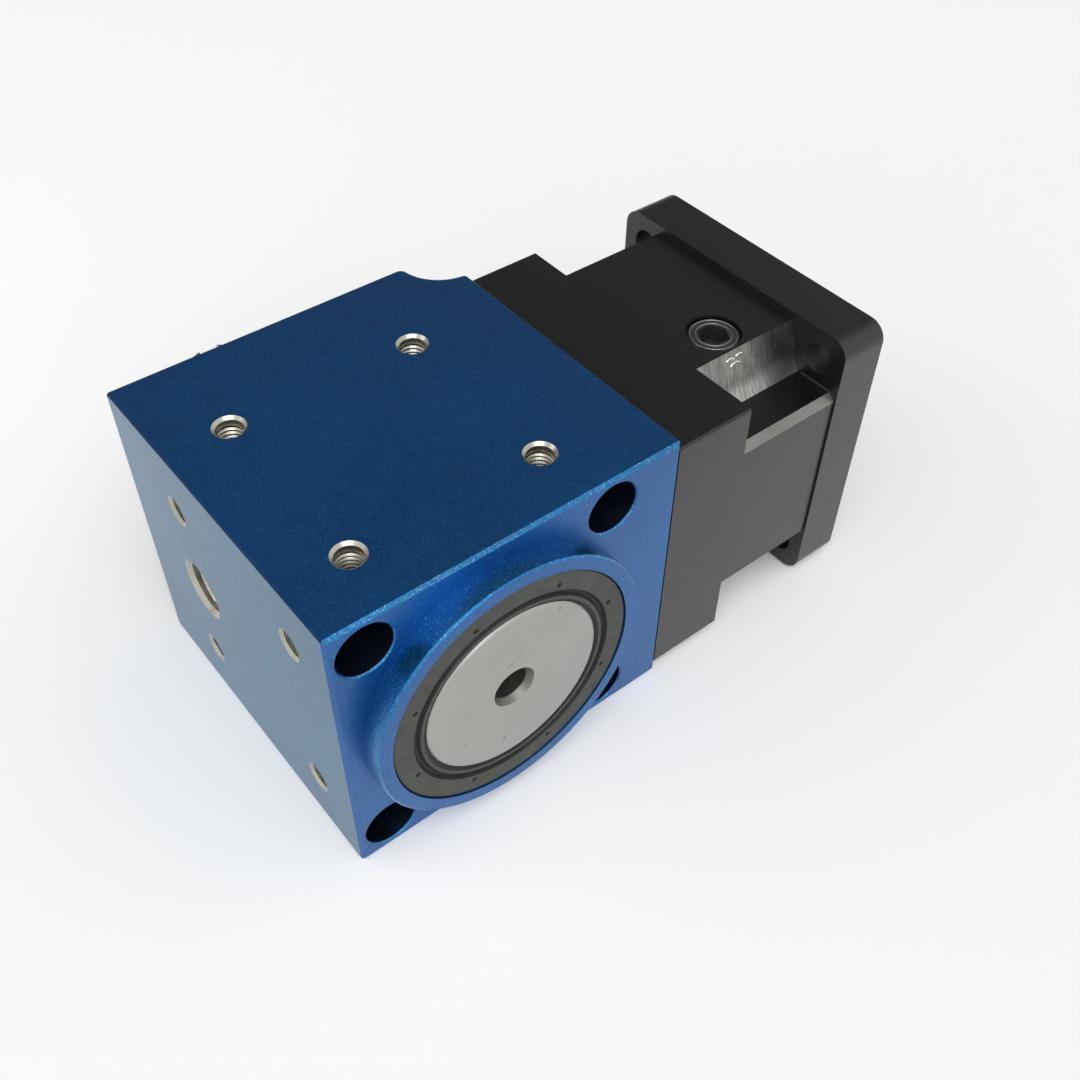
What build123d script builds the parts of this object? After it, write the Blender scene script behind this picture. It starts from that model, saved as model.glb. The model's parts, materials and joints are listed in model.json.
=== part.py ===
from build123d import *
from math import atan, atan2, cos, pi, radians, sin, sqrt, tan
import os

# Right-angle bevel gear reducer with a clamp-hub motor adapter.
#
# Frame: the output axis is Y and the input axis is parallel to X. The origin is on the output axis, in the
# plane of the front mounting face, with +X towards the motor, +Y towards the output shaft end and +Z up.
# All lengths are in millimetres.

# ---- housing ----
frame_half = 45.0            # output axis to the left, top and bottom faces, and front face to input axis
frame_reach = 57.0           # crossing point of the axes to the adapter face and to the rear face
edge_break = 0.5
front_edge_break = 0.9
pilot_r = 40.0
front_pilot_h = 7.0
rear_pilot_h = 5.0
seal_bore_r = 36.0
cavity_r = 32.0
rear_bearing_r = 31.0
rear_throat_r = 25.0
rear_seal_r = 26.0
pinion_throat_r = 19.0
pinion_bore_r = 21.0
bolt_circle = 100.0
mount_hole_r = 4.5
mount_sink_r = 7.5
mount_sink_depth = 12.0
tap_pitch = 54.0             # square pattern of tapped holes on three faces
tap_r = 3.6                  # mid-height radius of the M8 threads
tap_mouth_r = 4.4
tap_depth = 14.0
port_y = 69.5                # oil port, on the left face
port_r = 7.6
port_mouth_r = 8.9
relief_r = 13.0              # upright concave relief on the rear right edge
relief_lip_r = 2.0

# ---- stations along the output axis (Y) ----
input_y = frame_half
rear_y = input_y + frame_reach
front_seal_y = (-6.6, 1.4)
circlip_y = (1.6, 4.0)
front_bearing_y = (4.0, 16.0)
gear_hub_y = (16.0, 33.0)
rear_bearing_y = (76.0, 92.0)
nut_y = (92.0, 98.0)
rear_seal_y = (98.5, 106.5)
collar_end_y = 108.0
shaft_end_y = 148.0
disc_face_y = -6.5

# ---- stations along the input axis (X) ----
face_x = frame_reach
bearing_a_x = (35.0, 44.0)
bearing_b_x = (48.0, 57.0)
input_nut_x = (57.0, 64.0)
seal_step_x = (66.0, 69.0)
input_seal_x = (69.0, 76.0)
hub_x = (77.0, 112.0)
clamp_ring_x = (90.2, 104.2)

# ---- radii ----
disc_r = 26.0
front_seat_r = 25.0
gear_seat_r = 18.0
rear_seat_r = 15.0
output_r = 11.0
input_seat_r = 12.5
hub_r = 12.0
hub_bore_r = 8.0
bush_bore_r = 7.0
lip_gap = 0.05               # running gap under each seal lip

# ---- bevel gears ----
module = 2.0
wheel_teeth = 30
pinion_teeth = 15
face_width = 11.0
pressure_angle = radians(20)
backlash = 0.16
addendum = module
dedendum = 1.25 * module

# ---- adapter ----
adapter_front_y = 0.4
adapter_rear_y = 89.6
adapter_half_z = 42.1
plate_end_x = 81.8
body_inset = 0.8             # the body's front and rear faces stand this far inside the plate
flange_x = 118.0
motor_face_x = 134.0
notch_depth_y = 14.8
notch_depth_z = 14.5
notch_corner_r = 0.6
floor_chamfer = 2.2
flange_half = 44.4           # the motor flange stands slightly above the adapter body
flange_corner_r = 5.5
flange_edge = 0.5
inner_r = 32.0
motor_pilot_r = 40.0
motor_pilot_depth = 4.0
motor_hole_r = 4.5
cut_top_y = 20.9             # where the extra milled cut meets the top face
cut_band_z = 32.8            # top of the cut's curved lower band
access_x = 96.5
access_y = 29.5
access_r = 7.8
screw_inset_y = 7.8          # adapter screws, from the adapter's front and rear faces
screw_z = 34.5
screw_seat_x = 71.0
screw_tip_x = 44.5
screw_r = 3.0
screw_head_r = 5.0
screw_head_h = 6.0

os.makedirs("parts", exist_ok=True)


def save(part, label):
    """Label a finished piece and write it to its own STEP file."""
    part.label = label
    export_step(part, f"parts/{label}.step")


def input_plane(x):
    """Plane across the input axis at station x, with its normal along +X."""
    return Plane(origin=(x, input_y, 0), x_dir=(0, 1, 0), z_dir=(1, 0, 0))


def output_plane(y):
    """Plane across the output axis at station y, with its normal along +Y."""
    return Plane(origin=(0, y, 0), x_dir=(1, 0, 0), z_dir=(0, 1, 0))


output_axis = Axis((0, 0, 0), (0, 1, 0))
input_axis = Axis((0, input_y, 0), (1, 0, 0))
# Profiles to be revolved are drawn as (station, radius) points on these planes.
output_profile = Plane(origin=(0, 0, 0), x_dir=(0, 1, 0), z_dir=(1, 0, 0))
input_profile = Plane(origin=(0, input_y, 0), x_dir=(1, 0, 0), z_dir=(0, 0, 1))


def turned(points, profile, axis):
    """Solid of revolution from a closed profile of (station, radius) points."""
    with BuildPart() as piece:
        with BuildSketch(profile):
            with BuildLine():
                Polyline(*points, close=True)
            make_face()
        revolve(axis=axis)
    return piece.part


def tube(span, r_in, r_out, profile, axis, bevel=0.0):
    """Plain ring between two stations, with its outer corners bevelled."""
    a, b = span
    if bevel:
        points = [(a, r_in), (a, r_out - bevel), (a + bevel, r_out), (b - bevel, r_out), (b, r_out - bevel), (b, r_in)]
    else:
        points = [(a, r_in), (a, r_out), (b, r_out), (b, r_in)]
    return turned(points, profile, axis)


# ---------------------------------------------------------------- housing
half_x = (frame_reach + frame_half) / 2
mid_x = (frame_reach - frame_half) / 2
bolt_step = bolt_circle / 2 / sqrt(2)
corner_points = [(sx * bolt_step, sz * bolt_step) for sx in (-1, 1) for sz in (-1, 1)]
dowel_z = 30.0

with BuildPart() as gear_housing:
    with BuildSketch(output_plane(0)):
        with Locations((mid_x, 0)):
            Rectangle(2 * half_x, 2 * frame_half)
    extrude(amount=rear_y)
    chamfer(gear_housing.faces().sort_by(Axis.Y)[0].edges(), front_edge_break)
    chamfer(gear_housing.edges().filter_by(Axis.Y), edge_break)
    # upright relief on the rear right edge
    with BuildSketch(Plane.XY.offset(-frame_half)):
        with Locations((frame_reach, rear_y)):
            Circle(relief_r)
    extrude(amount=2 * frame_half, mode=Mode.SUBTRACT)
    lips = gear_housing.edges().filter_by(Axis.Z).filter_by(
        lambda e: abs((e.center() - Vector(frame_reach, rear_y, 0)).length - relief_r) < 0.2
    )
    fillet(lips, relief_lip_r)
    # pilot rings
    with BuildSketch(output_plane(-front_pilot_h)):
        Circle(pilot_r)
    extrude(amount=front_pilot_h + 1)
    with BuildSketch(output_plane(rear_y - 1)):
        Circle(pilot_r)
    extrude(amount=rear_pilot_h + 1)
    pilot_rims = gear_housing.edges().filter_by(GeomType.CIRCLE).filter_by(
        lambda e: abs(e.radius - pilot_r) < 0.01 and (e.center().Y < -1 or e.center().Y > rear_y + 1)
    )
    chamfer(pilot_rims, 0.5)
    # bores along the output axis
    stations = [
        (-front_pilot_h, front_bearing_y[1], seal_bore_r),
        (circlip_y[0], circlip_y[1], seal_bore_r + 1.5),
        (front_bearing_y[1] - 1, rear_bearing_y[0] + 1, cavity_r),
        (rear_bearing_y[0], rear_bearing_y[1], rear_bearing_r),
        (rear_bearing_y[1] - 1, rear_seal_y[0] + 1, rear_throat_r),
        (rear_seal_y[0], rear_y + rear_pilot_h, rear_seal_r),
    ]
    for y_from, y_to, r in stations:
        with BuildSketch(output_plane(y_from)):
            Circle(r)
        extrude(amount=y_to - y_from, mode=Mode.SUBTRACT)
    # bores along the input axis
    for x_from, x_to, r in [(20, bearing_a_x[0] + 1, pinion_throat_r), (bearing_a_x[0], face_x, pinion_bore_r)]:
        with BuildSketch(input_plane(x_from)):
            Circle(r)
        extrude(amount=x_to - x_from, mode=Mode.SUBTRACT)
    # groove for the interface ring
    with BuildSketch(input_plane(face_x)):
        Circle(26.7)
        Circle(24.3, mode=Mode.SUBTRACT)
    extrude(amount=-1.9, mode=Mode.SUBTRACT)
    # long mounting holes, sunk at the front
    with Locations(output_plane(rear_y)):
        with Locations(*corner_points):
            Hole(mount_hole_r, rear_y)
    front_plane = Plane(origin=(0, 0, 0), x_dir=(1, 0, 0), z_dir=(0, -1, 0))
    with Locations(front_plane):
        with Locations(*corner_points):
            CounterSinkHole(mount_sink_r, mount_sink_r + 0.4, mount_sink_depth, 90)
    # tapped holes on the top, bottom and left faces
    top_plane = Plane(origin=(0, input_y, frame_half), x_dir=(1, 0, 0), z_dir=(0, 0, 1))
    bottom_plane = Plane(origin=(0, input_y, -frame_half), x_dir=(1, 0, 0), z_dir=(0, 0, -1))
    left_plane = Plane(origin=(-frame_half, input_y, 0), x_dir=(0, 0, 1), z_dir=(-1, 0, 0))
    for plane in (top_plane, bottom_plane, left_plane):
        with Locations(plane):
            with GridLocations(tap_pitch, tap_pitch, 2, 2):
                CounterSinkHole(tap_r, tap_mouth_r, tap_depth, 90)
    # oil port
    port_plane = Plane(origin=(-frame_half, port_y, 0), x_dir=(0, 0, 1), z_dir=(-1, 0, 0))
    with Locations(port_plane):
        CounterSinkHole(port_r, port_mouth_r, 25, 90)
    # threads for the adapter screws, and dowel holes
    right_plane = input_plane(face_x)
    screw_points = [
        (y - input_y, sz * screw_z)
        for y in (adapter_front_y + screw_inset_y, adapter_rear_y - screw_inset_y)
        for sz in (-1, 1)
    ]
    with Locations(right_plane):
        with Locations(*screw_points):
            Hole(screw_r, face_x - screw_tip_x + 0.5)
        with Locations((0, dowel_z), (0, -dowel_z)):
            Hole(2.5, 8)
save(gear_housing.part, "gear_housing")

with BuildPart() as oil_plug:
    with BuildSketch(Plane(origin=(-frame_half + 6.5, port_y, 0), x_dir=(0, 0, 1), z_dir=(1, 0, 0))):
        Circle(port_r)
    extrude(amount=6)
    with BuildSketch(Plane(origin=(-frame_half + 6.5, port_y, 0), x_dir=(0, 0, 1), z_dir=(1, 0, 0))):
        RegularPolygon(4.0, 6, major_radius=False)
    extrude(amount=4, mode=Mode.SUBTRACT)
save(oil_plug.part, "oil_plug")

# ---------------------------------------------------------------- seals
seal_a, seal_b = front_seal_y
lip_r = disc_r + lip_gap
with BuildPart() as front_seal:
    with BuildSketch(output_profile):
        with BuildLine():
            Polyline(
                (seal_a + 0.5, seal_bore_r),
                (seal_a, seal_bore_r - 0.5),
                (seal_a, 30.0),
                (seal_a + 0.9, 29.4),
                (seal_a + 0.9, 28.6),
                (seal_a + 0.1, 28.0),
                (seal_a + 0.1, 27.1),
                (seal_a + 0.7, lip_r),
                (seal_a + 2.0, lip_r),
                (seal_a + 3.0, 27.6),
                (seal_b - 3.2, 27.6),
                (seal_b - 2.2, lip_r),
                (seal_b - 1.2, lip_r),
                (seal_b, 27.4),
                (seal_b, 28.6),
                (seal_a + 3.4, 28.8),
                (seal_a + 3.4, 33.6),
                (seal_b, 34.0),
                (seal_b, seal_bore_r),
                close=True,
            )
        make_face()
    revolve(axis=output_axis)
    with Locations(Plane(origin=(0, seal_a, 0), x_dir=(1, 0, 0), z_dir=(0, -1, 0))):
        with PolarLocations(31.6, 8, start_angle=20):
            Hole(0.75, 0.9)
save(front_seal.part, "front_seal")


def lip_seal(span, r_out, r_shaft, profile, axis):
    """Simple rotary seal: outer case, front web and one lip around the shaft."""
    a, b = span
    lip = r_shaft + lip_gap
    points = [
        (a, r_out),
        (a, lip + 1.6),
        (a + 1.4, lip + 1.6),
        (a + 2.4, lip),
        (a + 3.6, lip),
        (a + 4.6, lip + 1.4),
        (b, lip + 1.6),
        (b, r_out - 2.0),
        (b, r_out),
    ]
    return turned(points, profile, axis)


rear_seal = lip_seal((rear_seal_y[0], rear_seal_y[1]), rear_seal_r, rear_seat_r, output_profile, output_axis)
save(rear_seal, "rear_seal")
input_seal = lip_seal(input_seal_x, pinion_bore_r, input_seat_r, input_profile, input_axis)
save(input_seal, "input_seal")

with BuildPart() as front_circlip:
    with BuildSketch(output_plane(circlip_y[0])):
        Circle(seal_bore_r + 1.4)
        Circle(seal_bore_r - 3.0, mode=Mode.SUBTRACT)
        with Locations((0, seal_bore_r - 1)):
            Rectangle(16, 8, mode=Mode.SUBTRACT)
    extrude(amount=circlip_y[1] - circlip_y[0] - 0.1)
    with Locations(output_plane(circlip_y[0])):
        with PolarLocations(seal_bore_r - 1.6, 2, start_angle=90 - 16, angular_range=32, endpoint=True):
            Hole(0.9)
save(front_circlip.part, "front_circlip")


# ---------------------------------------------------------------- bearings
def bearing(name, span, bore_r, outer_r, ball_d, count, profile, axis, plane_at):
    """Deep groove ball bearing as two rings, a set of balls and a pocketed cage."""
    a, b = span
    mid = (a + b) / 2
    pitch_r = (bore_r + outer_r) / 2
    land = 0.30 * ball_d
    bevel = 0.6
    groove = Solid.make_torus(pitch_r, ball_d / 2 + 0.03, plane_at(mid))
    inner_points = [(a, bore_r), (a, pitch_r - land), (b, pitch_r - land), (b, bore_r)]
    outer_points = [
        (a, pitch_r + land),
        (a, outer_r - bevel),
        (a + bevel, outer_r),
        (b - bevel, outer_r),
        (b, outer_r - bevel),
        (b, pitch_r + land),
    ]
    save(turned(inner_points, profile, axis) - groove, f"{name}_inner_ring")
    save(turned(outer_points, profile, axis) - groove, f"{name}_outer_ring")
    with BuildPart() as balls:
        with Locations(plane_at(mid)):
            with PolarLocations(pitch_r, count):
                Sphere(ball_d / 2)
    save(balls.part, f"{name}_balls")
    cage_half = 0.62 * ball_d
    with BuildPart() as cage:
        with BuildSketch(plane_at(mid - cage_half)):
            Circle(pitch_r + 0.2 * ball_d)
            Circle(pitch_r - 0.2 * ball_d, mode=Mode.SUBTRACT)
        extrude(amount=2 * cage_half)
        with Locations(plane_at(mid)):
            with PolarLocations(pitch_r, count):
                Cylinder(ball_d / 2 + 0.1, ball_d, rotation=(0, 90, 0), mode=Mode.SUBTRACT)
    save(cage.part, f"{name}_cage")


output_set = (output_profile, output_axis, output_plane)
input_set = (input_profile, input_axis, input_plane)
bearing("front_bearing", front_bearing_y, front_seat_r, seal_bore_r, 6.35, 16, *output_set)
bearing("rear_bearing", rear_bearing_y, rear_seat_r, rear_bearing_r, 9.525, 9, *output_set)
bearing("pinion_bearing_a", bearing_a_x, input_seat_r, pinion_bore_r, 4.762, 12, *input_set)
bearing("pinion_bearing_b", bearing_b_x, input_seat_r, pinion_bore_r, 4.762, 12, *input_set)

spacer_x = (bearing_a_x[1], bearing_b_x[0])
save(tube(spacer_x, input_seat_r, 15.0, input_profile, input_axis), "inner_spacer")
save(tube(spacer_x, 18.6, pinion_bore_r, input_profile, input_axis), "outer_spacer")

# ---------------------------------------------------------------- bevel gears
wheel_cone = atan2(wheel_teeth, pinion_teeth)
pinion_cone = pi / 2 - wheel_cone
cone_distance = module * wheel_teeth / 2 / sin(wheel_cone)


def tooth_outline(teeth, cone):
    """Tooth outline on the back cone: points (across, out from the pitch point) at the large end."""
    r_pitch = module * teeth / 2 / cos(cone)
    r_base = r_pitch * cos(pressure_angle)
    r_tip = r_pitch + addendum
    r_root = r_pitch - dedendum - 0.35
    half_thick = (module * pi / 2 - backlash / 2) / 2 / r_pitch
    involute = tan(pressure_angle) - pressure_angle
    flank = []
    steps = 7
    r_start = max(r_base, r_pitch - dedendum)
    for i in range(steps):
        r = r_start + (r_tip - r_start) * i / (steps - 1)
        a = sqrt(max((r / r_base) ** 2 - 1, 0))
        angle = half_thick + involute - (a - atan(a))
        flank.append((r * sin(angle), r * cos(angle) - r_pitch))
    foot_angle = atan2(flank[0][0], flank[0][1] + r_pitch)
    foot = (r_root * sin(foot_angle), r_root * cos(foot_angle) - r_pitch)
    right = [foot] + flank
    return right, [(-x, y) for x, y in reversed(right)]


def gear_teeth(teeth, cone, apex_plane, first_angle):
    """All teeth of a straight bevel gear; the apex is the plane's origin and its z axis is the gear axis."""
    right, left = tooth_outline(teeth, cone)
    out = (sin(cone), -cos(cone))
    along = (cos(cone), sin(cone))

    def place(scale, x, y):
        axial = scale * (cone_distance * along[0] - y * out[0])
        radial = scale * (cone_distance * along[1] - y * out[1])
        return (radial, scale * x, axial)

    sections = []
    for scale in (1.0, 1 - face_width / cone_distance):
        corners = [place(scale, x, y) for x, y in right + left]
        n = len(right)
        edges = [
            Edge.make_line(corners[0], corners[1]),
            Edge.make_spline(corners[1:n]),
            Edge.make_line(corners[n - 1], corners[n]),
            Edge.make_spline(corners[n:2 * n - 1]),
            Edge.make_line(corners[2 * n - 2], corners[2 * n - 1]),
            Edge.make_line(corners[2 * n - 1], corners[0]),
        ]
        sections.append(Wire(edges))
    tooth = Solid.make_loft(sections, True)
    turns = [Rot(0, 0, first_angle + 360 * i / teeth) * tooth for i in range(teeth)]
    return [apex_plane.location * t for t in turns]


apex = (0, input_y, 0)
# The wheel sits in front of the crossing point, the pinion on the motor side.
wheel_plane = Plane(origin=apex, x_dir=(1, 0, 0), z_dir=(0, -1, 0))
pinion_plane = Plane(origin=apex, x_dir=(0, -1, 0), z_dir=(1, 0, 0))
wheel_root_cone = wheel_cone - atan(dedendum / cone_distance)
pinion_root_cone = pinion_cone - atan(dedendum / cone_distance)
inner_distance = cone_distance - face_width


def root_point(cone, distance):
    """(axial from apex, radius) of the root line at a distance along the pitch cone."""
    drop = dedendum * distance / cone_distance
    return (distance * cos(cone) + drop * sin(cone), distance * sin(cone) - drop * cos(cone))


wheel_heel = root_point(wheel_cone, cone_distance)
wheel_toe = root_point(wheel_cone, inner_distance)
gear_back = input_y - gear_hub_y[0]
wheel_blank_points = [
    (input_y - gear_back, gear_seat_r),
    (input_y - gear_back, 24.0),
    (input_y - gear_back + 2.2, 24.0),
    (input_y - gear_back + 2.2, 25.2),
    (input_y - wheel_heel[0], wheel_heel[1]),
    (input_y - wheel_toe[0], wheel_toe[1]),
    (gear_hub_y[1], gear_seat_r),
]
key_w = 10.0
with BuildPart() as output_gear:
    with BuildSketch(output_profile):
        with BuildLine():
            Polyline(*wheel_blank_points, close=True)
        make_face()
    revolve(axis=output_axis)
    add(gear_teeth(wheel_teeth, wheel_cone, wheel_plane, 180 / wheel_teeth))
    with BuildSketch(output_plane(gear_hub_y[0])):
        with Locations((0, -(gear_seat_r + 0.7))):
            Rectangle(key_w, 5.4)
    extrude(amount=gear_hub_y[1] - gear_hub_y[0], mode=Mode.SUBTRACT)
save(output_gear.part, "output_gear")

pinion_heel = root_point(pinion_cone, cone_distance)
pinion_toe = root_point(pinion_cone, inner_distance)
shoulder_x = (pinion_heel[0] + 1.0, bearing_a_x[0])
with BuildPart() as pinion_shaft:
    with BuildSketch(input_profile):
        with BuildLine():
            Polyline(
                (pinion_toe[0], 0),
                pinion_toe,
                pinion_heel,
                (shoulder_x[0], pinion_heel[1] - 0.6),
                (shoulder_x[0], 14.0),
                (shoulder_x[1], 14.0),
                (shoulder_x[1], input_seat_r),
                (hub_x[0] - 0.6, input_seat_r),
                (hub_x[0], hub_r),
                (hub_x[1] - 0.6, hub_r),
                (hub_x[1], hub_r - 0.6),
                (hub_x[1], 0),
                close=True,
            )
        make_face()
    revolve(axis=input_axis)
    add(gear_teeth(pinion_teeth, pinion_cone, pinion_plane, 0))
    with BuildSketch(input_plane(hub_x[0] + 3)):
        Circle(hub_bore_r)
    extrude(amount=hub_x[1] - hub_x[0] - 3, mode=Mode.SUBTRACT)
    for z_dir in ((0, 0, 1), (0, 1, 0)):
        slot_plane = Plane(origin=(hub_x[1], input_y, 0), x_dir=(1, 0, 0), z_dir=z_dir)
        with BuildSketch(slot_plane):
            Rectangle(2 * (hub_x[1] - 87), 1.6)
        extrude(amount=hub_r + 1, both=True, mode=Mode.SUBTRACT)
save(pinion_shaft.part, "pinion_shaft")

# ---------------------------------------------------------------- output shaft group
key_slot_depth = 3.5
with BuildPart() as output_shaft:
    with BuildSketch(output_profile):
        with BuildLine():
            Polyline(
                (disc_face_y, 0),
                (disc_face_y, disc_r - 0.5),
                (disc_face_y + 0.5, disc_r),
                (front_bearing_y[0], disc_r),
                (front_bearing_y[0], front_seat_r),
                (gear_hub_y[0], front_seat_r),
                (gear_hub_y[0], gear_seat_r),
                (gear_hub_y[1], gear_seat_r),
                (gear_hub_y[1], rear_seat_r),
                (collar_end_y - 0.5, rear_seat_r),
                (collar_end_y, rear_seat_r - 0.5),
                (collar_end_y, output_r),
                (shaft_end_y - 1, output_r),
                (shaft_end_y, output_r - 1),
                (shaft_end_y, 0),
                close=True,
            )
        make_face()
    revolve(axis=output_axis)
    with Locations(Plane(origin=(0, disc_face_y, 0), x_dir=(1, 0, 0), z_dir=(0, -1, 0))):
        CounterSinkHole(5.1, 6.2, 26, 60)
    with Locations(output_plane(shaft_end_y)):
        CounterSinkHole(3.4, 4.4, 20, 60)
    # keyway at the output end, open at the end face, and the keyway under the gear
    with BuildSketch(output_plane(110)):
        with Locations((0, -(output_r - key_slot_depth / 2 + 1))):
            Rectangle(6, key_slot_depth + 2)
    extrude(amount=shaft_end_y - 110, mode=Mode.SUBTRACT)
    with BuildSketch(output_plane(gear_hub_y[0] + 2)):
        with Locations((0, -(gear_seat_r - 1.4))):
            Rectangle(key_w, 6.0)
    extrude(amount=12, mode=Mode.SUBTRACT)
save(output_shaft.part, "output_shaft")

with BuildPart() as output_gear_key:
    with BuildSketch(output_plane(gear_hub_y[0] + 2)):
        with Locations((0, -(gear_seat_r - 0.6))):
            Rectangle(key_w, 7.4)
    extrude(amount=12)
save(output_gear_key.part, "output_gear_key")

save(tube((gear_hub_y[1], rear_bearing_y[0]), rear_seat_r, 18.0, output_profile, output_axis, 0.4), "spacer_sleeve")


def slotted_nut(span, r_in, r_out, profile, axis, plane_at):
    """Round lock nut with four spanner slots."""
    with BuildPart() as nut:
        add(tube(span, r_in, r_out, profile, axis, 0.6))
        for angle in (45, 135):
            with BuildSketch(plane_at(span[0])):
                Rectangle(2.4 * r_out, 5, rotation=angle)
                Circle(r_out - 2, mode=Mode.SUBTRACT)
            extrude(amount=span[1] - span[0], mode=Mode.SUBTRACT)
    return nut.part


save(slotted_nut(nut_y, rear_seat_r, 22.5, output_profile, output_axis, output_plane), "output_nut")
save(slotted_nut(input_nut_x, input_seat_r, 18.0, input_profile, input_axis, input_plane), "input_nut")

# ---------------------------------------------------------------- clamp hub
split_gap = 1.6
screw_head_z = 10.0
with BuildPart() as clamp_ring:
    with BuildSketch(input_plane(clamp_ring_x[0])):
        Circle(26.0)
        Circle(hub_r, mode=Mode.SUBTRACT)
        with Locations((-18, 0)):
            Rectangle(20, split_gap, mode=Mode.SUBTRACT)
    extrude(amount=clamp_ring_x[1] - clamp_ring_x[0])
    chamfer(clamp_ring.edges().filter_by(GeomType.CIRCLE).filter_by(lambda e: e.radius > 25), 0.8)
    with BuildSketch(Plane(origin=(access_x, access_y, screw_head_z), x_dir=(1, 0, 0), z_dir=(0, 0, 1))):
        Circle(5.4)
    extrude(amount=20, mode=Mode.SUBTRACT)
    with BuildSketch(Plane(origin=(access_x, access_y, -16), x_dir=(1, 0, 0), z_dir=(0, 0, 1))):
        Circle(3.0)
    extrude(amount=40, mode=Mode.SUBTRACT)
save(clamp_ring.part, "clamp_ring")

with BuildPart() as clamp_screw:
    with BuildSketch(Plane(origin=(access_x, access_y, -14), x_dir=(1, 0, 0), z_dir=(0, 0, 1))):
        Circle(3.0)
    extrude(amount=14 + screw_head_z)
    with BuildSketch(Plane(origin=(access_x, access_y, screw_head_z), x_dir=(1, 0, 0), z_dir=(0, 0, 1))):
        Circle(5.0)
    extrude(amount=6)
    with BuildSketch(Plane(origin=(access_x, access_y, screw_head_z + 6), x_dir=(1, 0, 0), z_dir=(0, 0, 1))):
        RegularPolygon(2.5, 6, major_radius=False)
    extrude(amount=-3, mode=Mode.SUBTRACT)
save(clamp_screw.part, "clamp_screw")

with BuildPart() as motor_bush:
    with BuildSketch(input_plane(hub_x[0] + 4)):
        Circle(hub_bore_r)
        Circle(bush_bore_r, mode=Mode.SUBTRACT)
        with Locations((-7.5, 0)):
            Rectangle(3, 1.6, mode=Mode.SUBTRACT)
    extrude(amount=30)
save(motor_bush.part, "motor_bush")

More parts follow.
